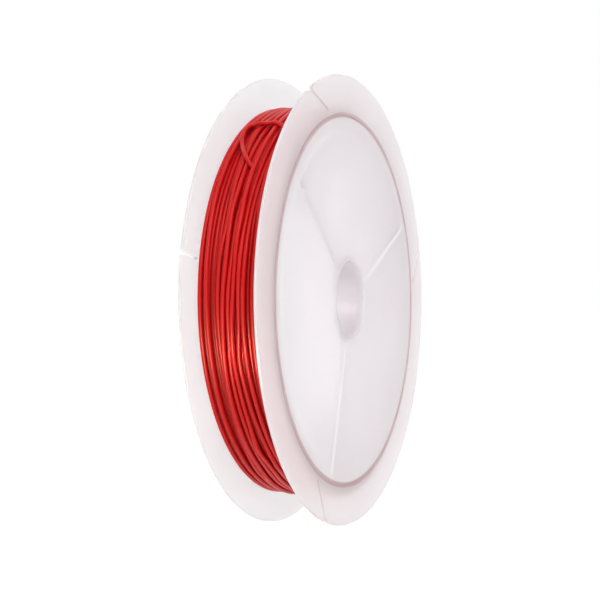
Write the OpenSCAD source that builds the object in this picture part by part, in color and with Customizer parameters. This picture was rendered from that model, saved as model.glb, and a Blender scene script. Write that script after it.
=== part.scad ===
// String reel: a narrow two-flange spool moulded in two halves, wound with string.
// Each sub-part is drawn with the spin axis along z and the front flange at +z, and is then
// stood upright: spin axis along Y, front flange towards -Y, origin at the middle of the bore.
// Angles are read on the front face, anticlockwise from the right-hand side.

/* [Reel] */
// Diameter of both flanges
flange_d = 70; // [66:0.5:80]
// Width over the two outer faces
reel_w = 12; // [10:0.1:16]
// Thickness of each flange and of the face inside it
flange_t = 0.5; // [0.4:0.05:1]

/* [Drum and hub] */
// Outside diameter of the drum that carries the string
drum_d = 55.2; // [50:0.2:56]
// Wall of the drum
drum_wall = 1; // [0.8:0.1:1.6]
// Diameter of the spindle bore
bore_d = 12; // [8:0.5:16]
// Wall of the hub tube
hub_wall = 0.9; // [0.7:0.1:1.5]
// Height of the rear half's lip, on which the hub tube ends
lip_step = 0.7; // [0.3:0.1:1]

/* [Ribs and rings inside] */
// Thickness of the ribs
rib_t = 1; // [0.8:0.1:1.6]
// Height of the front ribs, behind the front face
front_rib_h = 5.5; // [3:0.5:6]
// Angles of the front ribs
front_ribs = [27, 138, 252.5]; // [0:0.5:360]
// Height of the rear half's ribs and rings
rear_ring_h = 3; // [2:0.5:3.5]
// Angles of the rear ribs
rear_ribs = [45, 165, 285]; // [0:0.5:360]
// Wall of the rear half's locating ring and collar
ring_wall = 0.9; // [0.7:0.1:1.5]
// Gap on the radius where one half is pushed into the other
press_gap = 0.03; // [0.02:0.01:0.08]

/* [Ring groove on each face] */
// Diameter of the groove's middle
groove_d = 57.6; // [56.5:0.1:60]
// Width of the groove
groove_w = 0.7; // [0.5:0.1:1.2]
// Depth of the groove
groove_depth = 0.2; // [0.1:0.05:0.25]

/* [Slits that catch the string] */
// Rim angles of the front flange's slits
front_slits = [15, 117, 252.5]; // [0:0.5:360]
// Rim angles of the rear flange's slits
rear_slits = [169, 47, 305]; // [0:0.5:360]
// Length of a front slit
front_slit_l = 7.4; // [3:0.1:8]
// Slant of a front slit away from the radius
front_slant = 43; // [0:1:50]
// Length of a rear slit
rear_slit_l = 4.4; // [3:0.1:5]
// Slant of a rear slit away from the radius
rear_slant = 0; // [-20:1:20]
// Width of a slit at the rim
slit_mouth = 1.1; // [0.8:0.1:1.6]
// Width of a slit where it grips the string
slit_w = 0.4; // [0.3:0.05:0.7]
// How far in a slit's mouth tapers
mouth_depth = 1.3; // [0.8:0.1:2]

/* [String] */
// Diameter of the string
string_d = 0.7; // [0.6:0.05:0.8]
// Depth of the wound string on the drum
winding_h = 2.8; // [2.4:0.05:3.4]
// Gap between neighbouring outer turns
turn_gap = 0.46; // [0.44:0.02:0.8]
// Gap between the outer turns and each flange
side_gap = 0.25; // [0.1:0.05:0.5]
// Gap left round the solid of the inner layers
seat_gap = 0.05; // [0.02:0.01:0.1]
// Gap where the last turn doubles back over the others
over_gap = 0.45; // [0.44:0.01:0.6]
// Angle at which the end lies across the turns
end_angle = 118; // [110:1:130]
// Slope of the last turn where it crosses the others
cross_slope = 30; // [20:1:45]
// Radius of its bends
end_bend = 3; // [2:0.1:3.5]

/* [Start of the string inside the drum] */
// Angle of the anchor hole
anchor_angle = 75; // [60:1:100]
// Distance of the anchor hole from the reel's middle, towards the front
anchor_z = 1.5; // [0:0.1:2]
// Gap round the string in its anchor hole
anchor_gap = 0.15; // [0.1:0.05:0.3]
// Diameter of the stopper knot
knot_d = 2.1; // [1.8:0.1:2.6]
// Length of the end beyond the knot
knot_tail = 1.5; // [0.5:0.1:3]

/* [Hidden] */
$fn = 180;

flange_r = flange_d / 2;
drum_r = drum_d / 2;
drum_in = drum_r - drum_wall;
bore_r = bore_d / 2;
hub_r = bore_r + hub_wall;
collar_in = hub_r + press_gap;
collar_r = collar_in + ring_wall;
half_w = reel_w / 2;
inner_z = half_w - flange_t;             // the flanges' inner faces lie at +-inner_z
lip_z = inner_z - lip_step;              // the hub tube ends at -lip_z, on the rear lip
ring_r = drum_in - press_gap;            // outside of the rear half's locating ring

// the wound string, from the drum outwards
sides = 6;                               // sides of the string's section
loop_rings = 24;                         // sections round one turn
core_gap = string_d;                     // from the inner layers to the outer turns' middle line
turn_r = drum_r + winding_h - string_d / 2;
core_r = turn_r - core_gap;
over_r = turn_r + string_d + over_gap;
lane_z = inner_z - side_gap - string_d / 2;
pitch = string_d + turn_gap;
turns = 2 * lane_z / pitch;

// colours
natural_pp = [0.93, 0.91, 0.92, 0.6];
red_string = [0.78, 0.13, 0.12];

cut = 1;                                 // how far a cutter runs past the solid it cuts

// ---- shapes shared by both halves ----

module upright() { rotate([90, 0, 0]) children(); }

module tube(r_out, r_in, z0, z1) {
    translate([0, 0, z0]) difference() {
        cylinder(r = r_out, h = z1 - z0);
        translate([0, 0, -cut]) cylinder(r = r_in, h = z1 - z0 + 2 * cut);
    }
}

// one face with its flange: a flat disc with its rim rounded off, its inner face at inner_z
module face_disc() {
    rim = flange_t / 2;
    rim_flats = 12;                      // flats round the rim's full circle
    rotate_extrude() {
        translate([bore_r, inner_z]) square([flange_r - rim - bore_r, flange_t]);
        translate([flange_r - rim, inner_z + rim]) intersection() {
            circle(r = rim, $fn = rim_flats);
            translate([0, -rim]) square([rim, 2 * rim]);
        }
    }
}

module ring_groove() {
    tube(groove_d / 2 + groove_w / 2, groove_d / 2 - groove_w / 2,
         half_w - groove_depth, half_w + cut);
}

// a slit from the rim inwards: a tapered mouth, then a parallel cut with a round end
module slit(angle, length, slant) {
    run = length - slit_w / 2;
    rotate(angle) translate([flange_r, 0, inner_z - cut]) rotate(180 + slant)
        linear_extrude(flange_t + 2 * cut) {
            polygon([[-cut, slit_mouth / 2], [mouth_depth, slit_w / 2], [run, slit_w / 2],
                     [run, -slit_w / 2], [mouth_depth, -slit_w / 2], [-cut, -slit_mouth / 2]]);
            translate([run, 0]) circle(d = slit_w, $fn = 24);
        }
}

module ribs(angles, r0, r1, z0, z1) {
    for (a = angles) rotate(a)
        translate([r0, -rib_t / 2, z0]) cube([r1 - r0, rib_t, z1 - z0]);
}

// ---- front half: flange, closed face, drum, hub tube and three ribs in one moulding ----

module front_flange_and_drum() {
    overlap = drum_wall / 2;
    color(natural_pp) upright() difference() {
        union() {
            face_disc();
            tube(drum_r, drum_in, -inner_z, inner_z + flange_t / 2);
            tube(hub_r, bore_r, -lip_z, inner_z + flange_t / 2);
            ribs(front_ribs, hub_r - hub_wall / 2, drum_in + overlap,
                 inner_z - front_rib_h, inner_z + flange_t / 2);
        }
        ring_groove();
        for (a = front_slits) slit(a, front_slit_l, front_slant);
        rotate(anchor_angle) translate([drum_in - cut, 0, anchor_z]) rotate([0, 90, 0])
            cylinder(d = string_d + 2 * anchor_gap, h = drum_wall + 2 * cut, $fn = 32);
    }
}

// ---- rear half: flange and closed face, with a locating ring pushed into the drum ----

module rear_flange_cover() {
    ring_top = inner_z - rear_ring_h;
    overlap = ring_wall / 2;
    color(natural_pp) upright() mirror([0, 0, 1]) difference() {
        union() {
            face_disc();
            tube(hub_r, bore_r, lip_z, inner_z + flange_t / 2);
            tube(collar_r, collar_in, ring_top, inner_z + flange_t / 2);
            tube(ring_r, ring_r - ring_wall, ring_top, inner_z + flange_t / 2);
            ribs(rear_ribs, collar_r - overlap, ring_r - overlap,
                 ring_top, inner_z + flange_t / 2);
        }
        ring_groove();
        for (a = rear_slits) slit(a, rear_slit_l, rear_slant);
    }
}

// ---- string: the inner layers, as one plain ring on the drum ----

module string_inner_layers() {
    side = inner_z - seat_gap;
    color(red_string) upright() tube(core_r, drum_r + seat_gap, -side, side);
}

// ---- string: the outer layer, one unbroken tube with its end doubled back over the turns ----
// Its middle line is a list of [radius, angle, z] places, from the inner layers outwards.

start_bend = 0.8 * string_d + string_d / 2;   // bend where it comes up from the inner layers
settle = 12;                                  // degrees over which it settles into its turn
deg_over = 180 / (PI * over_r);               // degrees for one millimetre round the reel
deg_turn = 180 / (PI * turn_r);

bend_z = end_bend - lane_z;                   // middle of the far bend, from the reel's middle
cross_l = (lane_z - end_bend + 2 * end_bend * cos(cross_slope) - bend_z) / sin(cross_slope);
near_bend = end_bend + 2 * end_bend * sin(cross_slope) + cross_l * cos(cross_slope);
leave_angle = end_angle + near_bend * deg_over;   // where the last turn leaves its lane
climb = 14;                                       // degrees over which it climbs before that
lane_end = leave_angle + climb;
start_angle = lane_end + 360 * turns;

function ease(t) = t * t * (3 - 2 * t);

start_run = [
    for (k = [0:2]) [core_r + string_d * k / 2, start_angle, -lane_z],
    for (k = [1:4]) [core_r + string_d + start_bend * sin(22.5 * k),
                     start_angle - start_bend * (1 - cos(22.5 * k)) * deg_turn, -lane_z],
    for (k = [1:3]) let (t = k / 4) [
        core_r + string_d + start_bend - (start_bend + core_r + string_d - turn_r) * ease(t),
        start_angle - start_bend * deg_turn - settle * t, -lane_z]
];
first = start_angle - start_bend * deg_turn - settle;
steps = round((first - lane_end) / 360 * loop_rings);
helix = [for (k = [0:steps]) let (t = k / steps)
    [turn_r, first + (lane_end - first) * t, lane_z * (2 * t - 1)]];
climb_run = [for (k = [1:5]) let (t = k / 5)
    [turn_r + (over_r - turn_r) * ease(t), lane_end - climb * t, lane_z]];

// the doubled-back end, laid out flat as [mm round the reel, z] before it is wrapped
near_arc = [for (k = [1:3]) let (a = 90 + cross_slope * k / 3)
    [near_bend + end_bend * cos(a), lane_z - end_bend + end_bend * sin(a)]];
far_arc = [for (k = [0:8]) let (a = 270 + cross_slope - (90 + cross_slope) * k / 8)
    [end_bend + end_bend * cos(a), bend_z + end_bend * sin(a)]];
crossing = [for (k = [1:7]) let (t = k / 8) near_arc[2] * (1 - t) + far_arc[0] * t];
last_run = [for (k = [1:3]) [0, bend_z + (inner_z - string_d - bend_z) * k / 3], [0, inner_z]];
end_run = [for (q = concat(near_arc, crossing, far_arc, last_run))
    [over_r, end_angle + q[0] * deg_over, q[1]]];

route = [for (q = concat(start_run, helix, climb_run, end_run))
    [q[0] * cos(q[1]), q[0] * sin(q[1]), q[2]]];

function unit(v) = v / norm(v);
last = len(route) - 1;
heads = [for (i = [0:last])
    i == 0 ? unit(route[1] - route[0]) :
    i == last ? unit(route[last] - route[last - 1]) :
    unit(unit(route[i] - route[i - 1]) + unit(route[i + 1] - route[i]))];
function level(v, i) = unit(v - (v * heads[i]) * heads[i]);
ups = [for (i = 0, u = level([0, 0, 1], 0); i <= last;
            i = i + 1, u = i <= last ? level(u, i) : u) u];

module swept_string() {
    points = [for (i = [0:last]) let (side = cross(heads[i], ups[i])) for (k = [0:sides - 1])
        let (a = 360 * k / sides) route[i] + string_d / 2 * (cos(a) * ups[i] + sin(a) * side)];
    walls = [for (i = [0:last - 1]) for (k = [0:sides - 1])
        let (a = i * sides + k, b = i * sides + (k + 1) % sides)
        each [[a, b, b + sides], [a, b + sides, a + sides]]];
    caps = [for (k = [1:sides - 2])
        each [[0, k + 1, k], [last * sides, last * sides + k, last * sides + k + 1]]];
    polyhedron(points = points, faces = [for (f = concat(walls, caps)) [f[0], f[2], f[1]]]);
}

// Least gap of the tube to itself: from each place on its middle line to each stretch of it
// that lies further along than the tube's own bends.
function stretch_gap(p, a, b) = let (ab = b - a, t = max(0, min(1, (p - a) * ab / (ab * ab))))
    norm(p - a - t * ab);
clear_run = 12;
least_gap = min([for (i = [0:last], j = [0:last - 1])
    if (abs(i - j) > clear_run) stretch_gap(route[i], route[j], route[j + 1])]) - string_d;
echo(least_gap_of_outer_turns = least_gap, turns = turns, rings = last + 1);  // string_outer_turns

module string_outer_turns() {
    color(red_string) upright() swept_string();
}

// ---- string: its inner end, through the drum's anchor hole and knotted inside ----

module string_start_knot() {
    knot_r = knot_d / 2;
    knot_at = drum_in - knot_r - seat_gap;
    end_at = knot_at - knot_r - knot_tail;
    color(red_string) upright() rotate(anchor_angle) translate([0, 0, anchor_z]) {
        translate([knot_at, 0, 0]) sphere(r = knot_r, $fn = 48);
        translate([end_at, 0, 0]) rotate([0, 90, 0])
            cylinder(d = string_d, h = drum_r - end_at, $fn = 32);
    }
}

front_flange_and_drum();
rear_flange_cover();
string_inner_layers();
string_outer_turns();
string_start_knot();
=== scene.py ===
"""String reel: a narrow two-flange spool of natural polypropylene, moulded in two halves that are
pushed together, wound with glossy red string. The spin axis lies along Y and the front flange
towards -Y. Angles are read on the front face, anticlockwise from the right-hand side."""

import bmesh
import bpy
import math
from mathutils import Matrix, Vector


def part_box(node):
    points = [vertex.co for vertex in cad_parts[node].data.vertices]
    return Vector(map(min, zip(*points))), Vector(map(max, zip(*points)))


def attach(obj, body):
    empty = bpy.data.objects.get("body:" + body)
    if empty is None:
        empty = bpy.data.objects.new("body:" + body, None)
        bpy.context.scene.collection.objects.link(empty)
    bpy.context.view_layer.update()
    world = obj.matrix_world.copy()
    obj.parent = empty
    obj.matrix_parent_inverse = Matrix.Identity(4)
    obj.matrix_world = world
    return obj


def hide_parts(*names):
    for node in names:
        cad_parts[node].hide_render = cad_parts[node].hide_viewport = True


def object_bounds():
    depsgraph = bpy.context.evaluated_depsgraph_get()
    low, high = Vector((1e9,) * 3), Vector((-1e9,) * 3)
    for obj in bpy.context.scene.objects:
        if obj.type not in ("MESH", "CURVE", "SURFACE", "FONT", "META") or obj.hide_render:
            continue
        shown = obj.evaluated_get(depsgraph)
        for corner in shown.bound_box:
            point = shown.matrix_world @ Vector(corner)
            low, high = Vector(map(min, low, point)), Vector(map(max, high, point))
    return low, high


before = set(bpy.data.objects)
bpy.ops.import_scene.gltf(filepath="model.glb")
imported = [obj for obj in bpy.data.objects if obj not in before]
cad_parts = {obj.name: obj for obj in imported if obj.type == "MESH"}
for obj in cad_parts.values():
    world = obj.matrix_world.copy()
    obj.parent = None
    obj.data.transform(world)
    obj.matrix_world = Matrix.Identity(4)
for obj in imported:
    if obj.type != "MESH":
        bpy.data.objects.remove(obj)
cad_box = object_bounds()
scene = bpy.context.scene

# ---- Camera ----
# A long lens close to the reel, level with its hub and turned by a fraction of a degree. It looks
# across the winding, with the front face turned away to the right.

mm = 0.001
LENS = 89.34                      # focal length, in mm like the sensor's width
SENSOR_W = 36
CAMERA_AZIMUTH = -66.717          # degrees between the line of sight and the spin axis
CAMERA_LIFT = 0.08                # degrees that it looks up
CAMERA_ROLL = 0.199               # degrees that it leans
CAMERA_BACK = 235.394 * mm        # from the middle of the bore, along the line of sight
CAMERA_LEFT = 2.428 * mm          # how far it stands to the left of the bore's middle


def make_camera():
    level = Matrix.Rotation(math.radians(CAMERA_AZIMUTH), 3, "Z") @ Vector((0, 1, 0))
    lift, roll = math.radians(CAMERA_LIFT), math.radians(CAMERA_ROLL)
    flat_right = level.cross(Vector((0, 0, 1)))
    sight = math.cos(lift) * level + Vector((0, 0, math.sin(lift)))
    flat_up = flat_right.cross(sight)
    right = math.cos(roll) * flat_right - math.sin(roll) * flat_up
    up = math.sin(roll) * flat_right + math.cos(roll) * flat_up
    camera = bpy.data.objects.new("camera", bpy.data.cameras.new("camera"))
    camera.data.lens = LENS
    camera.data.sensor_width = SENSOR_W
    camera.data.clip_start = 0.01
    camera.location = -(CAMERA_LEFT * right + CAMERA_BACK * sight)
    turn = Matrix((right, up, -sight)).transposed()
    camera.rotation_euler = turn.to_euler()
    scene.collection.objects.link(camera)
    scene.camera = camera


make_camera()

# ---- Front half ----
# One injection moulding in natural polypropylene: flange, closed face, drum, hub tube and three
# ribs. The face carries the bore, a fine ring groove and three slits that catch the string's end.

FACE_W = 0.5                      # thickness of the face and its flange
RIM_R = FACE_W / 2                # full-round rim
BORE_R = 6.0
HUB_R = 6.9
LIP_W = 1.2                       # depth of the bore's lip at the face
LIP_STEP = 0.06                   # how far the tube behind the lip stands back
TUBE_GAP = 0.7                    # from the hub tube's end to the rear face: the rear half's lip
BORE_EDGE = 0.2                   # rounding of the bore's mouth
DRUM_R = 27.6
DRUM_WALL = 1.0
GROOVE_R = 28.8
GROOVE_W = 0.7
GROOVE_DEPTH = 0.2
RIB_W = 1.0
RIB_H = 5.5
RIB_ROOT = 0.4                    # how far a rib's ends reach into what they join
FILLET = 0.3                      # rounding where the tube and the drum meet the face
FRONT_RIBS = (27, 138, 252.5)
FRONT_SLITS = (15, 117, 252.5)
FRONT_SLIT_L = 7.4
FRONT_SLANT = 43                  # degrees off the radius
SLIT_MOUTH = 1.1
SLIT_W = 0.4
MOUTH_DEPTH = 1.3
SLIT_LIP = 0.05                   # rounding along a slit's edges
STEPS_ROUND = 360                 # facets round a full turn
SHARP_ANGLE = 40                  # degrees between faces from which an edge stays sharp

low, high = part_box("front_flange_and_drum")
FLANGE_R = (high.x - low.x) / 2 / mm
HALF_W = -low.y / mm
INNER = HALF_W - FACE_W           # the flanges' inner faces lie at +-INNER


def place(radius, angle, axial):
    """A point by its radius, its angle on the front face and its place towards the front, in mm."""
    turn = math.radians(angle)
    return Vector((radius * math.cos(turn), -axial, radius * math.sin(turn))) * mm


def arc(middle_r, middle_z, radius, start, end, steps):
    """Points of a section's arc, from angle start to angle end."""
    angles = [math.radians(start + (end - start) * k / steps) for k in range(steps + 1)]
    return [(middle_r + radius * math.cos(a), middle_z + radius * math.sin(a)) for a in angles]


def new_object(name, points, faces):
    """A mesh object whose faces all point outwards."""
    mesh = bpy.data.meshes.new(name)
    mesh.from_pydata(points, [], faces)
    shape = bmesh.new()
    shape.from_mesh(mesh)
    bmesh.ops.recalc_face_normals(shape, faces=shape.faces)
    shape.to_mesh(mesh)
    shape.free()
    made = bpy.data.objects.new(name, mesh)
    scene.collection.objects.link(made)
    return made


def turned(name, section):
    """A closed section of (radius, axial) points, turned round the spin axis."""
    count = len(section)
    points = [place(r, 360 * k / STEPS_ROUND, z) for k in range(STEPS_ROUND) for r, z in section]
    faces = []
    for k in range(STEPS_ROUND):
        here, there = k * count, (k + 1) % STEPS_ROUND * count
        for i in range(count):
            j = (i + 1) % count
            faces.append((here + i, here + j, there + j, there + i))
    return new_object(name, points, faces)


def grooved_face():
    """The outer face from the rim to the bore's mouth, with the shallow soft-edged ring groove."""
    half = GROOVE_W / 2
    edge, drop = 0.05, 0.015      # how wide and how deep the groove's edges are softened
    bed_r = (half ** 2 + GROOVE_DEPTH ** 2) / (2 * GROOVE_DEPTH)
    steep = math.degrees(math.asin(half / bed_r)) - 8    # the bed stops short of its edges
    bed = arc(GROOVE_R, HALF_W - GROOVE_DEPTH + bed_r, bed_r, -90 + steep, -90 - steep, 8)
    groove = [(GROOVE_R + half + 3 * edge, HALF_W), (GROOVE_R + half + edge, HALF_W - drop)]
    groove += bed + [(GROOVE_R - half - edge, HALF_W - drop), (GROOVE_R - half - 3 * edge, HALF_W)]
    rim = arc(FLANGE_R - RIM_R, HALF_W - RIM_R, RIM_R, -90, 90, 12)
    supports = [(FLANGE_R - 1, HALF_W)]
    inside = [(BORE_R + 3 * BORE_EDGE, HALF_W)]
    mouth = arc(BORE_R + BORE_EDGE, HALF_W - BORE_EDGE, BORE_EDGE, 90, 180, 5)
    return [(FLANGE_R - 1, INNER)] + rim + supports + groove + inside + mouth


def cut_or_join(body, tool, operation):
    """A boolean with a tool that is used up, applied at once."""
    step = body.modifiers.new(operation.lower(), "BOOLEAN")
    step.operation = operation
    step.solver = "EXACT"
    step.object = tool
    bpy.context.view_layer.update()
    cut = bpy.data.meshes.new_from_object(body.evaluated_get(bpy.context.evaluated_depsgraph_get()))
    body.modifiers.clear()
    body.data = cut
    bpy.data.objects.remove(tool)


def slit_tool(angle, length, slant, side):
    """A slit's cutter: a tapered mouth, a parallel run and a round end, flared along both faces."""
    run = length - SLIT_W / 2
    beyond = 1.2                  # how far the cutter stands out past the rim
    half = []
    for k in range(13):
        along = -beyond + (MOUTH_DEPTH + beyond) * k / 12
        taper = min(1, max(-0.9, along / MOUTH_DEPTH))
        half.append((along, SLIT_W / 2 + (SLIT_MOUTH - SLIT_W) / 2 * (1 - taper) ** 2))
    half += [(MOUTH_DEPTH + (run - MOUTH_DEPTH) * k / 6, SLIT_W / 2) for k in range(1, 6)]
    half += arc(run, 0, SLIT_W / 2, 90, 0, 6)
    outline = half + [(u, -v) for u, v in reversed(half[:-1])]
    flare = [(SLIT_LIP * (1 - math.sin(math.radians(a))), SLIT_LIP * (1 - math.cos(math.radians(a))))
             for a in (15, 33, 51, 69, 90)]
    clear = 1.0                   # and past both faces
    levels = [(flare[0][0], -clear)] + flare + [(wide, FACE_W - deep) for wide, deep in reversed(flare)]
    levels += [(flare[0][0], FACE_W + clear)]
    lean = math.radians(180 + slant)
    points = []
    for wide, deep in levels:
        for i, (u, v) in enumerate(outline):
            before, after = outline[i - 1], outline[(i + 1) % len(outline)]
            across = Vector((before[1] - after[1], after[0] - before[0])).normalized()
            u2, v2 = u + wide * across.x, v + wide * across.y
            x = FLANGE_R + u2 * math.cos(lean) - v2 * math.sin(lean)
            y = u2 * math.sin(lean) + v2 * math.cos(lean)
            points.append(place(math.hypot(x, y), angle + math.degrees(math.atan2(y, x)),
                                side * (HALF_W - deep)))
    count = len(outline)
    faces = [tuple(range(count)), tuple(range((len(levels) - 1) * count, len(levels) * count))]
    for k in range(len(levels) - 1):
        for i in range(count):
            j = (i + 1) % count
            faces.append((k * count + i, k * count + j, (k + 1) * count + j, (k + 1) * count + i))
    return new_object("slit tool", points, faces)


def rib_tool(angle, r0, r1, z0, z1):
    """A flat bar along a radius, from r0 to r1 and from z0 to z1."""
    ahead = Vector((math.cos(math.radians(angle)), 0, math.sin(math.radians(angle))))
    aside = Vector((-ahead.z, 0, ahead.x)) * RIB_W / 2
    corners = []
    for r in (r0, r1):
        for sign in (-1, 1):
            for z in (z0, z1):
                corners.append((ahead * r + aside * sign + Vector((0, -z, 0))) * mm)
    faces = [(0, 1, 3, 2), (4, 5, 7, 6), (0, 1, 5, 4), (2, 3, 7, 6), (0, 2, 6, 4), (1, 3, 7, 5)]
    return new_object("rib tool", corners, faces)


def soften(body):
    """Smooth shading that keeps the flat faces flat and breaks at the moulding's sharp edges."""
    body.data.shade_smooth()
    body.data.set_sharp_from_angle(angle=math.radians(SHARP_ANGLE))
    weight = body.modifiers.new("flat faces", "WEIGHTED_NORMAL")
    weight.keep_sharp = True


def linear(colour):
    """An sRGB hex colour as the linear RGBA that a shader takes."""
    parts = [int(colour[i:i + 2], 16) / 255 for i in (1, 3, 5)]
    return [c / 12.92 if c <= 0.04045 else ((c + 0.055) / 1.055) ** 2.4 for c in parts] + [1.0]


def add_node(tree, kind, settings=None, links=None):
    """One node, with its own settings, and its inputs set to a value or linked to an output."""
    node = tree.nodes.new(kind)
    for name, value in (settings or {}).items():
        setattr(node, name, value)
    for name, value in (links or {}).items():
        if isinstance(value, bpy.types.NodeSocket):
            tree.links.new(value, node.inputs[name])
        else:
            node.inputs[name].default_value = value
    return node


def share_let_through(tree, where, clear, ribs):
    """The share of light that goes straight through: less of it where the drum's wall stands
    behind the face, and over the given ribs, each an angle and the share that is left there."""
    haze_r, left_over_wall = DRUM_R - 0.3, 0.6
    wall_core, wall_fade = 0.6, 1.6         # mm off the haze's middle: still full, and all gone
    rib_core, rib_fade = 0.2, 0.6           # the same for a rib
    rib_middle, rib_reach = (HUB_R + DRUM_R) / 2, (DRUM_R - HUB_R) / 2

    def solve(operation, *values):
        node = add_node(tree, "ShaderNodeMath", {"operation": operation}, dict(enumerate(values)))
        return node.outputs["Value"]

    def along(direction):
        node = add_node(tree, "ShaderNodeVectorMath", {"operation": "DOT_PRODUCT"},
                        {0: where, 1: direction})
        return node.outputs["Value"]

    def soft_step(value, core, fade, inside, outside):
        node = add_node(tree, "ShaderNodeMapRange", {"interpolation_type": "SMOOTHSTEP"},
                        {"Value": value, "From Min": core * mm, "From Max": fade * mm,
                         "To Min": inside, "To Max": outside})
        return node.outputs["Result"]

    flat = add_node(tree, "ShaderNodeVectorMath", {"operation": "MULTIPLY"}, {0: where, 1: (1, 0, 1)})
    radius = add_node(tree, "ShaderNodeVectorMath", {"operation": "LENGTH"}, {0: flat.outputs["Vector"]})
    off_wall = solve("ABSOLUTE", solve("SUBTRACT", radius.outputs["Value"], haze_r * mm))
    share = soft_step(off_wall, wall_core, wall_fade, clear * left_over_wall, clear)
    for angle, left in ribs:
        turn = math.radians(angle)
        aside = solve("ABSOLUTE", along((-math.sin(turn), 0, math.cos(turn))))
        ahead = along((math.cos(turn), 0, math.sin(turn)))
        from_middle = solve("ABSOLUTE", solve("SUBTRACT", ahead, rib_middle * mm))
        past_end = solve("GREATER_THAN", from_middle, rib_reach * mm)
        over_rib = soft_step(solve("MAXIMUM", aside, past_end), rib_core, rib_fade, left, 1.0)
        share = solve("MULTIPLY", share, over_rib)
    return share


def natural_polypropylene(name, shade1, shade2, clear, ribs=(), spread_share=0.2):
    """Unfilled polypropylene, moulded in a satin-faced tool. It is milky: part of the light goes
    straight through with a haze, part is spread, so thin walls glow with what lies behind them,
    and thick places look whiter. The faint clouds and the fine grain keep wide faces alive."""
    cloud_size, grain_size = 9 * mm, 0.35 * mm
    material = bpy.data.materials.new(name)
    material.use_nodes = True
    tree = material.node_tree
    surface = tree.nodes["Principled BSDF"]
    where = add_node(tree, "ShaderNodeTexCoord").outputs["Object"]
    cloud = add_node(tree, "ShaderNodeTexNoise", None,
                     {"Vector": where, "Scale": 1 / cloud_size, "Detail": 3.0, "Roughness": 0.5})
    tint = add_node(tree, "ShaderNodeMix", {"data_type": "RGBA"})
    tree.links.new(cloud.outputs["Fac"], tint.inputs["Factor"])
    tint.inputs["A"].default_value = linear(shade1)
    tint.inputs["B"].default_value = linear(shade2)
    tree.links.new(tint.outputs["Result"], surface.inputs["Base Color"])
    grain = add_node(tree, "ShaderNodeTexNoise", None,
                     {"Vector": where, "Scale": 1 / grain_size, "Detail": 2.0})
    satin = add_node(tree, "ShaderNodeMapRange", None,
                     {"Value": grain.outputs["Fac"], "To Min": 0.30, "To Max": 0.42})
    tree.links.new(satin.outputs["Result"], surface.inputs["Roughness"])
    relief = add_node(tree, "ShaderNodeBump", None,
                      {"Height": grain.outputs["Fac"], "Strength": 0.05, "Distance": 0.02 * mm})
    tree.links.new(relief.outputs["Normal"], surface.inputs["Normal"])
    surface.inputs["IOR"].default_value = 1.49
    tree.links.new(share_let_through(tree, where, clear, ribs), surface.inputs["Transmission Weight"])
    surface.inputs["Subsurface Weight"].default_value = 0.3
    surface.inputs["Subsurface Scale"].default_value = 0.5 * mm
    surface.inputs["Subsurface Radius"].default_value = (1.0, 0.9, 0.9)
    spread = add_node(tree, "ShaderNodeBsdfTranslucent", None,
                      {"Color": tint.outputs["Result"], "Normal": relief.outputs["Normal"]})
    mix = add_node(tree, "ShaderNodeMixShader", None, {"Fac": spread_share})
    tree.links.new(surface.outputs["BSDF"], mix.inputs[1])
    tree.links.new(spread.outputs["BSDF"], mix.inputs[2])
    tree.links.new(mix.outputs["Shader"], tree.nodes["Material Output"].inputs["Surface"])
    return material


def dress(body, plastic):
    """The milky plastic all over, and on the bed of the ring groove, whose faces lie a little below the
    face of the flange, the thinner, clearer web, whose darker pink colour is painted shade and painted red
    glow."""
    body.data.materials.clear()
    body.data.materials.append(plastic)
    body.data.materials.append(groove_painted_pink_shade)
    for face in body.data.polygons:
        radius = math.hypot(face.center.x, face.center.z) / mm
        axial = abs(face.center.y) / mm
        in_groove = abs(radius - GROOVE_R) < GROOVE_W / 2 + 0.04
        face.material_index = 1 if in_groove and INNER + 0.1 < axial < HALF_W - 0.004 else 0


def front_half():
    wall_in = DRUM_R - DRUM_WALL
    tube_in = BORE_R + LIP_STEP
    tube_end = -(INNER - TUBE_GAP)
    section = grooved_face()
    section += [(BORE_R, HALF_W - LIP_W), (tube_in, HALF_W - LIP_W - LIP_STEP)]
    section += [(tube_in, tube_end), (HUB_R, tube_end), (HUB_R, INNER - FILLET)]
    section += arc(HUB_R + FILLET, INNER - FILLET, FILLET, 180, 90, 3)[1:]
    section += [(wall_in - FILLET, INNER)]
    section += arc(wall_in - FILLET, INNER - FILLET, FILLET, 90, 0, 3)[1:]
    section += [(wall_in, -INNER), (DRUM_R, -INNER), (DRUM_R, INNER - 0.02), (DRUM_R + 0.02, INNER)]
    body = turned("front_half", section)
    for angle in FRONT_RIBS:
        rib = rib_tool(angle, HUB_R - RIB_ROOT, wall_in + DRUM_WALL / 2, INNER - RIB_H, INNER + FACE_W / 3)
        cut_or_join(body, rib, "UNION")
    for angle in FRONT_SLITS:
        cut_or_join(body, slit_tool(angle, FRONT_SLIT_L, FRONT_SLANT, 1), "DIFFERENCE")
    soften(body)
    dress(body, polypropylene)
    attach(body, "root")
    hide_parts("front_flange_and_drum")


# Two of the ribs show as pale lines through the face, the third as a faint grey one.
pale_ribs = ((FRONT_RIBS[0], 0.4), (FRONT_RIBS[2], 0.3))
polypropylene = natural_polypropylene("moulded natural polypropylene", "#F5F2F4", "#F9F7F9", 0.68,
                                      pale_ribs)
# The bed of the ring groove is thin and clear enough to pass some of the red behind it; its darker pink
# base colour adds painted shade and painted red glow: a faint pink ring.
groove_painted_pink_shade = natural_polypropylene("thin web of natural polypropylene", "#E6CFD3", "#ECD9DC", 0.8)
front_half()

# ---- Rear half ----
# The second moulding, in the same polypropylene: flange and closed face, with a locating ring
# that is pushed into the drum, a collar round the hub tube and three low ribs between them.

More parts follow.
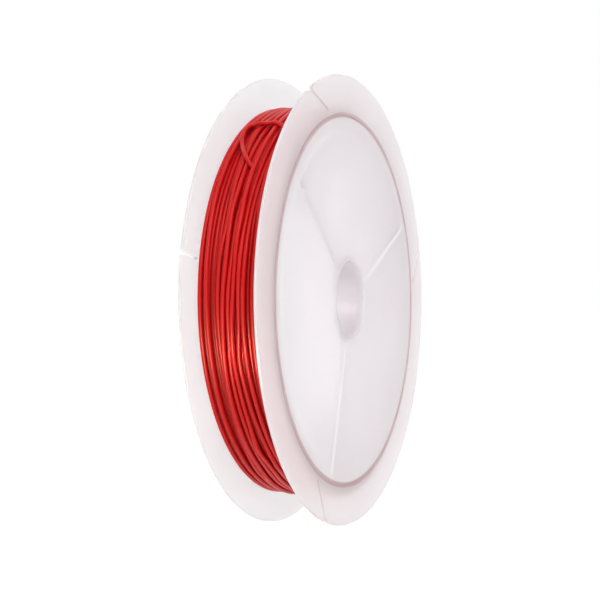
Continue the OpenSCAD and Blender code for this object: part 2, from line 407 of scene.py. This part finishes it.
RING_H = 3.0
RING_WALL = 0.9
PRESS_GAP = 0.03                  # between the halves where one is pushed into the other
REAR_RIBS = (45, 165, 285)
REAR_SLITS = (169, 47, 305)       # straight along the radius
REAR_SLIT_L = 4.4


def rear_half():
    ring_out = DRUM_R - DRUM_WALL - PRESS_GAP
    ring_in = ring_out - RING_WALL
    collar_in = HUB_R + PRESS_GAP
    collar_out = collar_in + RING_WALL
    top = INNER - RING_H
    section = grooved_face()
    section += [(BORE_R, INNER - TUBE_GAP), (HUB_R, INNER - TUBE_GAP), (HUB_R, INNER)]
    section += [(collar_in, INNER), (collar_in, top), (collar_out, top), (collar_out, INNER)]
    section += [(ring_in, INNER), (ring_in, top), (ring_out - 0.2, top), (ring_out, top + 0.3)]
    section += [(ring_out, INNER)]
    body = turned("rear_half", [(r, -z) for r, z in section])
    for angle in REAR_RIBS:
        rib = rib_tool(angle, collar_out - RIB_ROOT, ring_in + RIB_ROOT, -INNER - FACE_W / 3, -top)
        cut_or_join(body, rib, "UNION")
    for angle in REAR_SLITS:
        cut_or_join(body, slit_tool(angle, REAR_SLIT_L, 0, -1), "DIFFERENCE")
    soften(body)
    dress(body, rear_polypropylene_painted_lighter)
    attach(body, "root")
    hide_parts("rear_flange_cover")


# The same plastic, a little clearer, with its colour painted a shade whiter: painted light, so the rear
# flange looks nearly as bright as the surround behind it.
rear_polypropylene_painted_lighter = natural_polypropylene("moulded natural polypropylene, rear half, painted lighter",
                                           "#F8F8F9", "#FCFCFD", 0.88, spread_share=0.4)
rear_half()

# ---- String: buried layers ----
# The string below the two layers that can be seen, as one ring on the drum. Only slivers of it
# show, far down between the turns.

BURIED_R = 29.05
BURIED_GAP = 0.05                 # to the drum and to the flanges


def red_string():
    """Extruded nylon string, dyed through and coated. It is a deep, slightly clear red with a
    smooth gloss: light spreads in it, so the gaps between turns go crimson and not black."""
    streak_size = 1.6 * mm
    material = bpy.data.materials.new("coated red nylon string")
    material.use_nodes = True
    tree = material.node_tree
    surface = tree.nodes["Principled BSDF"]
    where = add_node(tree, "ShaderNodeTexCoord").outputs["Object"]
    streak = add_node(tree, "ShaderNodeTexNoise", None,
                      {"Vector": where, "Scale": 1 / streak_size, "Detail": 2.0})
    tint = add_node(tree, "ShaderNodeMix", {"data_type": "RGBA"})
    tree.links.new(streak.outputs["Fac"], tint.inputs["Factor"])
    tint.inputs["A"].default_value = linear("#B40409")
    tint.inputs["B"].default_value = linear("#C2070D")
    tree.links.new(tint.outputs["Result"], surface.inputs["Base Color"])
    gloss = add_node(tree, "ShaderNodeMapRange", None,
                     {"Value": streak.outputs["Fac"], "To Min": 0.34, "To Max": 0.46})
    tree.links.new(gloss.outputs["Result"], surface.inputs["Roughness"])
    surface.inputs["IOR"].default_value = 1.53
    surface.inputs["Specular Tint"].default_value = (1.0, 0.55, 0.48, 1.0)
    surface.inputs["Specular IOR Level"].default_value = 0.42
    surface.inputs["Subsurface Weight"].default_value = 0.6
    surface.inputs["Subsurface Scale"].default_value = 0.6 * mm
    surface.inputs["Subsurface Radius"].default_value = (1.0, 0.05, 0.06)
    return material


def buried_layers():
    side = INNER - BURIED_GAP
    low_r = DRUM_R + BURIED_GAP
    body = turned("string_buried_layers",
                  [(low_r, -side), (BURIED_R, -side), (BURIED_R, side), (low_r, side)])
    soften(body)
    body.data.materials.append(string_red)
    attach(body, "root")
    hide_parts("string_inner_layers")


string_red = red_string()
buried_layers()

# ---- String: the two layers that show ----
# One length of 0.7 mm string, wound by machine. The lower layer lies close and even; the upper one
# has bunched into bundles with gaps between, and its end is tucked back across the turns.

STRING_R = 0.35
STRING_SIDES = 10                 # facets round the string, shaded smooth
LOWER_R = 29.3                    # middle line of the even layer
LOWER_TURNS = 15
SIDE_S = 5.125                    # middle line of a turn against either flange
TURN_STEP = 1.5                   # degrees between the sections of a turn
SINK_STEPS = 24                   # sections over which the last turn goes down a layer

# The upper turns from the front flange to the rear one. Each is a list of places that it passes
# through: angle on the front face, mm towards the front, and mm of lift from where it would rest.
UPPER_TURNS = (
    ((95, 5.1, 0), (165, 5.1, 0), (265, 5.1, 0)),
    ((95, 3.9, 0), (130, 4.0, 0), (165, 4.35, 0.05), (200, 4.41, 0), (265, 4.5, 0)),
    ((95, 2.9, 0), (130, 3.2, 0), (150, 3.4, 0), (165, 3.68, 0), (200, 3.73, 0), (265, 3.8, 0)),
    ((95, 2.2, 0), (115, 2.35, 0), (135, 2.5, 0), (150, 2.72, -0.05), (162, 3.05, -0.1),
     (180, 3.03, 0), (200, 3.03, 0.05), (225, 3.03, 0), (265, 3.1, 0)),
    ((95, 1.8, -0.45), (130, 1.85, -0.5), (148, 1.72, -0.4), (158, 1.68, -0.15), (166, 1.82, 0.25),
     (180, 1.73, 0.35), (195, 1.7, 0.3), (205, 1.84, 0.2), (215, 2.02, 0.15), (225, 2.03, 0.05),
     (265, 2.15, 0)),
    ((95, 1.25, 0), (115, 1.3, -0.05), (130, 1.38, 0.05), (140, 1.2, -0.15), (150, 0.98, -0.4),
     (158, 1.12, -0.1), (170, 1.15, 0), (180, 0.97, 0), (188, 0.85, 0.05), (196, 0.48, 0.05),
     (205, 0.71, 0.05), (215, 1.0, 0.1), (225, 1.23, 0.15), (235, 1.4, 0.15), (245, 1.18, 0.1),
     (265, 1.2, 0)),
    ((95, 0.5, 0), (115, 0.75, 0), (128, 0.95, 0.1), (140, 0.68, 0.35), (150, 0.48, 0.35),
     (158, 0.68, 0.2), (165, 0.5, 0.1), (172, 0.28, 0), (180, 0.05, 0), (190, -0.13, 0.05),
     (200, -0.31, 0.05), (215, -0.13, 0.05), (225, -0.17, 0.1), (235, 0.12, 0.1), (245, -0.05, 0.05),
     (265, 0, 0)),
    ((95, -0.1, -0.3), (115, -0.1, -0.65), (145, -0.35, -0.7), (155, -0.5, -0.3), (162, -0.38, 0),
     (170, -0.42, 0.05), (180, -0.67, 0.05), (190, -0.78, 0.05), (200, -1.03, 0.1),
     (215, -0.96, 0.1), (225, -0.83, 0.15), (235, -0.72, 0.1), (245, -0.9, 0.1), (265, -0.8, 0)),
    ((95, -0.75, 0.1), (118, -0.72, 0.15), (127, -1.12, -0.15), (137, -1.15, -0.1),
     (145, -1.0, 0.15), (155, -1.05, 0.25), (162, -1.0, 0.2), (170, -1.05, 0.15),
     (176, -1.33, 0.15), (183, -1.5, 0.15), (200, -1.7, 0.05), (212, -1.71, 0), (225, -1.8, -0.2),
     (240, -1.9, -0.2), (265, -1.8, 0)),
    ((95, -1.85, 0), (117, -1.9, 0.05), (130, -2.02, -0.1), (140, -1.95, -0.1), (150, -1.8, 0.1),
     (160, -1.72, 0.15), (166, -2.04, 0.15), (172, -2.24, 0.05), (185, -2.31, 0), (200, -2.24, 0),
     (215, -2.18, 0.05), (225, -2.33, 0.05), (235, -2.56, 0.1), (245, -2.5, 0.1), (265, -2.5, 0)),
    ((95, -2.75, 0), (115, -2.85, 0.05), (124, -2.6, 0), (132, -2.6, -0.3), (143, -2.6, -0.6),
     (152, -2.9, -0.75), (162, -3.1, -0.75), (175, -3.2, -0.7), (190, -3.1, -0.6),
     (205, -3.0, -0.6), (225, -3.1, -0.6), (265, -3.1, -0.2)),
    ((95, -3.75, 0.1), (118, -3.9, 0.15), (135, -4.2, 0.25), (150, -4.25, 0.4), (160, -4.1, 0.45),
     (172, -3.97, 0.45), (182, -3.85, 0.45), (200, -3.75, 0.4), (215, -3.78, 0.3),
     (225, -3.73, 0.2), (265, -3.8, 0)),
    ((95, -4.7, 0), (120, -4.8, 0), (145, -5.05, 0.05), (180, -5.08, 0.1), (225, -5.0, 0.05),
     (265, -4.8, 0)),
)
LAYING_ORDER = (10, 7, 4, 3, 5, 12, 0, 1, 2, 9, 8, 6, 11)      # which turn lies under which


def between(places, at):
    """The values at an angle, on smooth cubic pieces through the places on either side of it."""
    i = 1
    while i < len(places) - 2 and places[i + 1][0] <= at:
        i += 1
    (a0, *v0), (a1, *v1), (a2, *v2), (a3, *v3) = places[i - 1:i + 3]
    t = min(1.0, max(0.0, (at - a1) / (a2 - a1)))
    values = []
    for p0, p1, p2, p3 in zip(v0, v1, v2, v3):
        slope1 = (p2 - p0) / (a2 - a0) * (a2 - a1)
        slope2 = (p3 - p1) / (a3 - a1) * (a2 - a1)
        values.append((2 * t ** 3 - 3 * t ** 2 + 1) * p1 + (t ** 3 - 2 * t ** 2 + t) * slope1
                      + (3 * t ** 2 - 2 * t ** 3) * p2 + (t ** 3 - t ** 2) * slope2)
    return values


def rest_on(bed, s, reach=2 * STRING_R):
    """The radius at which a strand at s lies on the strands in the bed, (s, radius) each."""
    lie = [r + 2 * STRING_R * math.sqrt(1 - ((s - at) / reach) ** 2)
           for at, r in bed if abs(s - at) < reach]
    return max(lie, default=LOWER_R)


def evened(values, weight):
    """The values, each but the first and the last drawn towards its neighbours."""
    return [values[0]] + [(values[k - 1] + weight * values[k] + values[k + 1]) / (weight + 2)
                          for k in range(1, len(values) - 1)] + [values[-1]]


def pulled_taut(radii, step, rounds=60):
    """String under tension doesn't follow a dip: it spans from high place to high place."""
    bend = 2 * math.cos(math.radians(step))
    for _ in range(rounds):
        for k in range(1, len(radii) - 1):
            before, after = radii[k - 1], radii[k + 1]
            radii[k] = max(radii[k], before * after * bend / (before + after))
    return evened(evened(radii, 2), 2)


def wound_string():
    """The middle lines of both layers, each a list of (angle, s, radius), and the bed that they
    make: for each section round the reel, the (s, radius) of all that lies there."""
    steps = round(360 / TURN_STEP)
    count = len(UPPER_TURNS)
    places = [(a + 360 * i, s, lift) for i, turn in enumerate(UPPER_TURNS) for a, s, lift in turn]
    start, end = places[0][0], places[-1][0]
    places = [(start - 190, SIDE_S, 0)] + places           # both ends run on along a flange
    places += [(end + 150, -SIDE_S, 0), (end + 200, -SIDE_S, 0)]

    lower = []                    # from the rear flange to the front one
    for k in range(LOWER_TURNS * steps + 1):
        s = -SIDE_S + 2 * SIDE_S * k / (LOWER_TURNS * steps)
        lower.append((TURN_STEP * k, s, LOWER_R))
    bed = [[] for _ in range(steps)]
    for k, (_, s, r) in enumerate(lower):
        bed[k % steps].append((s, r))

    upper = [[between(places, 360 * i + TURN_STEP * k) for k in range(steps)] for i in range(count)]
    height = [None] * count
    for i in LAYING_ORDER:
        lie = [rest_on(bed[k], s) + lift for k, (s, lift) in enumerate(upper[i])]
        height[i] = pulled_taut(lie, TURN_STEP)
        for k, (s, _) in enumerate(upper[i]):
            bed[k].append((s, height[i][k]))
    radii = pulled_taut([r for turn in height for r in turn], TURN_STEP, 4)
    for k in range(SINK_STEPS):
        t = k / (SINK_STEPS - 1)
        radii[k - SINK_STEPS] += (LOWER_R - radii[k - SINK_STEPS]) * t ** 2 * (3 - 2 * t)
    route = [(TURN_STEP * k, upper[k // steps][k % steps][0], radii[k]) for k in range(len(radii))]
    return lower, route, bed


def curve_point(p0, p1, p2, p3, t):
    """A value on the smooth curve from p1 to p2, with t from 0 to 1."""
    return (p1 + (p2 - p0) * t / 2 + (2 * p0 - 5 * p1 + 4 * p2 - p3) * t * t / 2
            + (3 * p1 - p0 - 3 * p2 + p3) * t ** 3 / 2)


def tucked_end(bed):
    """The last stretch: out from under the turns, aslant to the rear side, back across the top to
    the front flange and into the first upper turn. Places are (angle, s)."""
    ends = [(144.6, 1.65), (142.6, 1.1), (141.0, 0.35), (139.4, -0.53), (137.9, -1.16),
            (135.9, -1.87), (133.8, -2.48), (131.3, -3.1), (129.0, -3.45), (126.6, -3.7),
            (124.6, -3.75), (122.9, -3.6), (121.8, -3.2), (121.4, -2.6), (121.5, -1.7),
            (121.9, -0.6), (122.6, 0.5), (123.6, 1.7), (125.2, 2.8), (128.2, 3.8),
            (132.5, 4.45), (138.0, 4.8), (146.0, 5.0), (154.0, 5.1)]
    under, out = 3, 9             # fine points at which it starts to rise, and lies on top
    end_points = 8                # and those at the other end that only settle
    top_r, reach = 31.15, 1.0     # as high as it lies, and how far a turn beside it lifts it
    fine = []
    for i in range(1, len(ends) - 2):
        for t in (0, 0.25, 0.5, 0.75):
            fine.append(tuple(curve_point(*values, t) for values in zip(*ends[i - 1:i + 3])))
    radii = []
    for n, (a, s) in enumerate(fine):
        r = rest_on(bed[round(a / TURN_STEP) % len(bed)], s, reach)
        if n < out:
            r = LOWER_R + (r - LOWER_R) * max(0, n - under) / (out - under)
        radii.append(min(r, top_r))
    for _ in range(6):            # evened out without sinking into what it lies on
        even = evened(radii, 2)
        for k in range(out + 1, len(radii) - end_points):
            even[k] = max(even[k], radii[k])
        radii = even
    for _ in range(4):
        radii = evened(radii, 1)
    return [(a, s, r) for (a, s), r in zip(fine, radii)]


def string_tubes(name, routes):
    """Round string along its middle lines, each a list of (angle, s, radius), in one mesh."""
    points, faces = [], []
    for route in routes:
        line = [place(r, a, s) for a, s, r in route]
        start = len(points)
        for k, here in enumerate(line):
            ahead = (line[min(k + 1, len(line) - 1)] - line[max(k - 1, 0)]).normalized()
            out = Vector((here.x, 0, here.z))
            out = (out - out.dot(ahead) * ahead).normalized()
            aside = ahead.cross(out)
            for j in range(STRING_SIDES):
                turn = 2 * math.pi * j / STRING_SIDES
                points.append(here + STRING_R * mm * (math.cos(turn) * out + math.sin(turn) * aside))
        for k in range(len(line) - 1):
            a, b = start + k * STRING_SIDES, start + (k + 1) * STRING_SIDES
            for j in range(STRING_SIDES):
                n = (j + 1) % STRING_SIDES
                faces.append((a + j, a + n, b + n, b + j))
        faces.append(tuple(range(start, start + STRING_SIDES)))
        faces.append(tuple(range(len(points) - STRING_SIDES, len(points))))
    body = new_object(name, points, faces)
    body.data.shade_smooth()
    return body


def outer_string():
    lower, route, bed = wound_string()
    hook = tucked_end(bed)
    joint = round(hook[-1][0] / TURN_STEP) + 6             # a few sections on, to meet softly
    body = string_tubes("string_outer_turns", [lower, hook + route[joint:]])
    body.data.materials.append(string_red)
    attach(body, "root")
    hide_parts("string_outer_turns")


outer_string()

# ---- String: its start ----
# The string's inner end: it comes through a hole in the drum, is knotted so that it can't pull
# out, and is cut off short.

ANCHOR_ANGLE = 75
ANCHOR_S = 1.5
KNOT_TURNS = 1.18                 # how far its loop goes round
KNOT_LOOP = 0.42                  # the loop's mean radius


def start_knot():
    """An overhand knot, drawn up tight, with the string running on to the drum's outside."""
    tail = 1.1                    # from the knot's middle to the drum's wall, and to its cut end
    middle = DRUM_R - DRUM_WALL - tail
    line = []
    for k in range(61):
        t = k / 60 * 2 * math.pi * KNOT_TURNS - 0.56
        wide = KNOT_LOOP * (1.15 + 0.8 * math.cos(1.5 * t))
        line.append((middle + 0.34 * math.sin(1.5 * t), wide * math.cos(t), wide * math.sin(t)))
    inner = [(middle - tail - 1.5 * k / 4, line[0][1] * (1 - k / 4), line[0][2] * (1 - k / 4))
             for k in range(4, -1, -1)]
    outer = [(middle + 0.5 + (DRUM_R - middle - 0.55) * k / 5, line[-1][1] * (1 - min(1, k / 3)),
              line[-1][2] * (1 - min(1, k / 3))) for k in range(6)]
    route = []
    for r, u, v in inner + line + outer:
        route.append((ANCHOR_ANGLE + math.degrees(u / r), ANCHOR_S + v, r))
    body = string_tubes("string_start_knot", [route])
    body.data.materials.append(string_red)
    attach(body, "root")
    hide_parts("string_start_knot")


start_knot()

# ---- Stage ----
# A pale floor and a white surround, with one wide soft lamp high up behind the camera. Small weak
# lamps stand for light that a few bounces don't bring: inside the closed drum and into the bore.

def seen_directly(tree):
    """1 for rays that show the background itself: to the camera, mirrored or seen through."""
    path = add_node(tree, "ShaderNodeLightPath").outputs
    either = add_node(tree, "ShaderNodeMath", {"operation": "MAXIMUM"},
                      {0: path["Is Camera Ray"], 1: path["Is Glossy Ray"]})
    any_of = add_node(tree, "ShaderNodeMath", {"operation": "MAXIMUM"},
                      {0: either.outputs["Value"], 1: path["Is Transmission Ray"]})
    return any_of.outputs["Value"]


def make_floor():
    """Matt white, with a glow of its own that makes it as pale as the surround to the camera. It
    keeps the reel's shadow."""
    floor = bpy.data.objects.new("floor", bpy.data.meshes.new("floor"))
    level, reach = cad_box[0][2], 3.0
    floor.data.from_pydata([(-reach, -reach, level), (reach, -reach, level),
                            (reach, reach, level), (-reach, reach, level)], [], [(0, 1, 2, 3)])
    scene.collection.objects.link(floor)
    material = bpy.data.materials.new("matt white floor")
    material.use_nodes = True
    tree = material.node_tree
    surface = tree.nodes["Principled BSDF"]
    surface.inputs["Base Color"].default_value = linear("#F0F0F0")
    surface.inputs["Roughness"].default_value = 0.9
    surface.inputs["Specular IOR Level"].default_value = 0.0
    glow = add_node(tree, "ShaderNodeEmission", None, {"Strength": 1.4})
    share = add_node(tree, "ShaderNodeMapRange", None,
                     {"Value": seen_directly(tree), "To Min": 0.5, "To Max": 0.65})
    mix = add_node(tree, "ShaderNodeMixShader", None, {"Fac": share.outputs["Result"]})
    tree.links.new(surface.outputs["BSDF"], mix.inputs[1])
    tree.links.new(glow.outputs["Emission"], mix.inputs[2])
    tree.links.new(mix.outputs["Shader"], tree.nodes["Material Output"].inputs["Surface"])
    floor.data.materials.append(material)


def make_surround():
    """White all round: full white where it is seen, and a little less as light on the reel."""
    world = bpy.data.worlds.new("white surround")
    scene.world = world
    world.use_nodes = True
    tree = world.node_tree
    strength = add_node(tree, "ShaderNodeMapRange", None,
                        {"Value": seen_directly(tree), "To Min": 0.93, "To Max": 1.0})
    tree.links.new(strength.outputs["Result"], tree.nodes["Background"].inputs["Strength"])
    tree.nodes["Background"].inputs["Color"].default_value = (1, 1, 1, 1)


def lamp(name, place_mm, aim_mm, size_mm, power, spread=180, colour=(1, 1, 1), unseen_by=()):
    """A lamp with a rectangular face, which the camera and the given kinds of ray don't see."""
    light = bpy.data.lights.new(name, "AREA")
    light.shape = "RECTANGLE"
    light.size, light.size_y = size_mm[0] * mm, size_mm[1] * mm
    light.energy = power
    light.spread = math.radians(spread)
    light.color = colour
    made = bpy.data.objects.new(name, light)
    made.location = Vector(place_mm) * mm
    aim = (Vector(aim_mm) - Vector(place_mm)) * mm
    made.rotation_euler = aim.to_track_quat("-Z", "Y").to_euler()
    for kind in ("camera",) + unseen_by:
        setattr(made, "visible_" + kind, False)
    scene.collection.objects.link(made)


make_floor()
make_surround()
lamp("key softbox", (-500, -350, 450), (0, 0, 0), (400, 400), 2.4)

# Light that the milky drum gathers by many bounces: two in each chamber between the front ribs,
# on to the inside of the front face.
warm, cool = (1.0, 0.95, 0.93), (1.0, 0.80, 0.87)
for angle, power, colour in ((165, 0.0017, warm), (222, 0.0017, warm), (52, 0.0011, cool),
                             (108, 0.0012, cool), (285, 0.001, cool), (345, 0.0009, cool)):
    middle = place(15.8, angle, -2.2) / mm
    lamp("glow in the drum", middle, middle - Vector((0, 5, 0)), (15, 15), power,
         colour=colour, unseen_by=("glossy", "transmission"))

# The band of sheen across the lower turns: a small spot, and an orange card seen only in gloss.
lamp("low spot", (-56, -3, -21), (-30, -0.8, -8), (5, 5), 0.00005, spread=9)
lamp("low sheen", (-62, -4, -24), (-30, 0, -8), (7, 14), 0.032, colour=(1.0, 0.66, 0.48),
     unseen_by=("diffuse", "transmission"))

# From behind, through the bore on to its far wall.
lamp("bore light", (-60, 60, 0), (6, -1, 0), (12, 12), 0.0006, spread=9, colour=(1.0, 0.9, 0.93),
     unseen_by=("glossy", "transmission"))
scene.view_settings.view_transform = "Standard"
